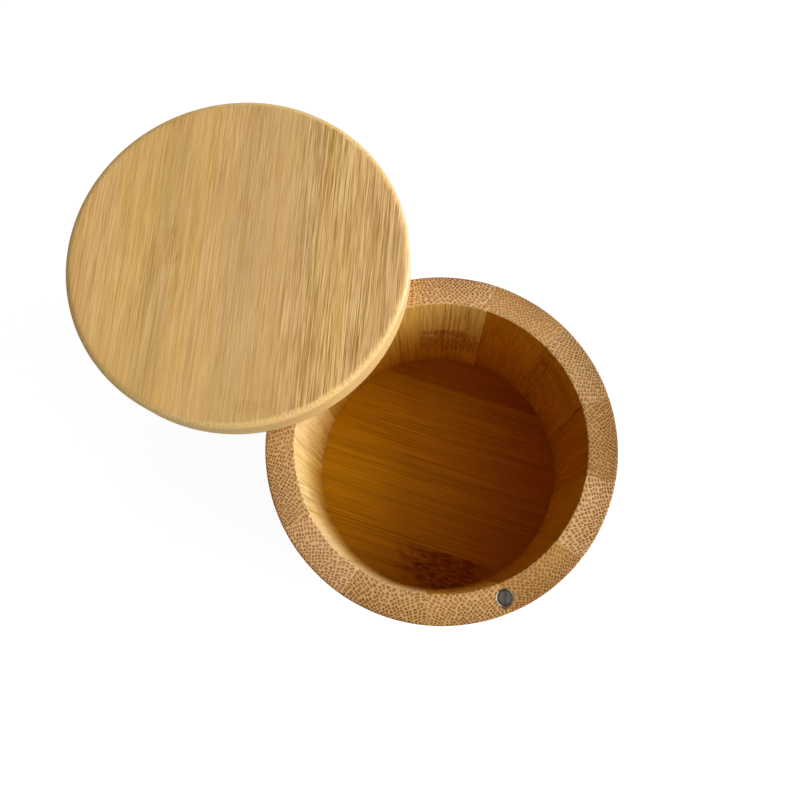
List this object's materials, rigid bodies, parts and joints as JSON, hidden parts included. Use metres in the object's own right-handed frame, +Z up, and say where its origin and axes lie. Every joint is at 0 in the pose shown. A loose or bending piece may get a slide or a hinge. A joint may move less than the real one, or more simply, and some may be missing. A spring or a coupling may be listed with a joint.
{
  "type": "swivel-lid salt box",
  "caption": "Round bamboo box for salt or spice, with a flat round lid that swivels sideways on a pin in the rim and is held shut by a pair of small magnets.",
  "frame": {"origin": "middle of the underside, where the box stands on the table", "axes": "+Z up, +Y from the box's axis towards the pivot pin at the back, the magnet near -Y"},
  "size_m": [0.1249, 0.1489, 0.0718],
  "materials": {
    "bamboo_wall": "sanded and oiled bamboo, end grain on the rim",
    "bamboo_floor": "sanded and oiled bamboo, darker",
    "bamboo_lid": "sanded bamboo, fine straight grain",
    "magnet_plating": "dull nickel plating",
    "pin_steel": "ground steel"
  },
  "bodies": {
    "box": {"wall_stave_01": "bamboo_wall", "wall_stave_02": "bamboo_wall", "wall_stave_03": "bamboo_wall", "wall_stave_04": "bamboo_wall", "wall_stave_05": "bamboo_wall", "wall_stave_06": "bamboo_wall", "wall_stave_07": "bamboo_wall", "wall_stave_08": "bamboo_wall", "wall_stave_09": "bamboo_wall", "wall_stave_10": "bamboo_wall", "wall_stave_11": "bamboo_wall", "wall_stave_12": "bamboo_wall", "wall_stave_13": "bamboo_wall", "floor_strip_1": "bamboo_floor", "floor_strip_2": "bamboo_floor", "floor_strip_3": "bamboo_floor", "floor_strip_4": "bamboo_floor", "rim_magnet": "magnet_plating", "pivot_pin": "pin_steel"},
    "lid": {"lid_back_ply": "bamboo_lid", "lid_core_ply": "bamboo_lid", "lid_face_ply": "bamboo_lid", "lid_magnet": "magnet_plating"}
  },
  "joints": [
    {"name": "lid_swivel", "type": "hinge", "parent": "box", "child": "lid", "pos_m": [0, 0.0407, 0.0625], "axis": [0, 0, 1], "range_deg": [-241.8, 118.2]}
  ]
}
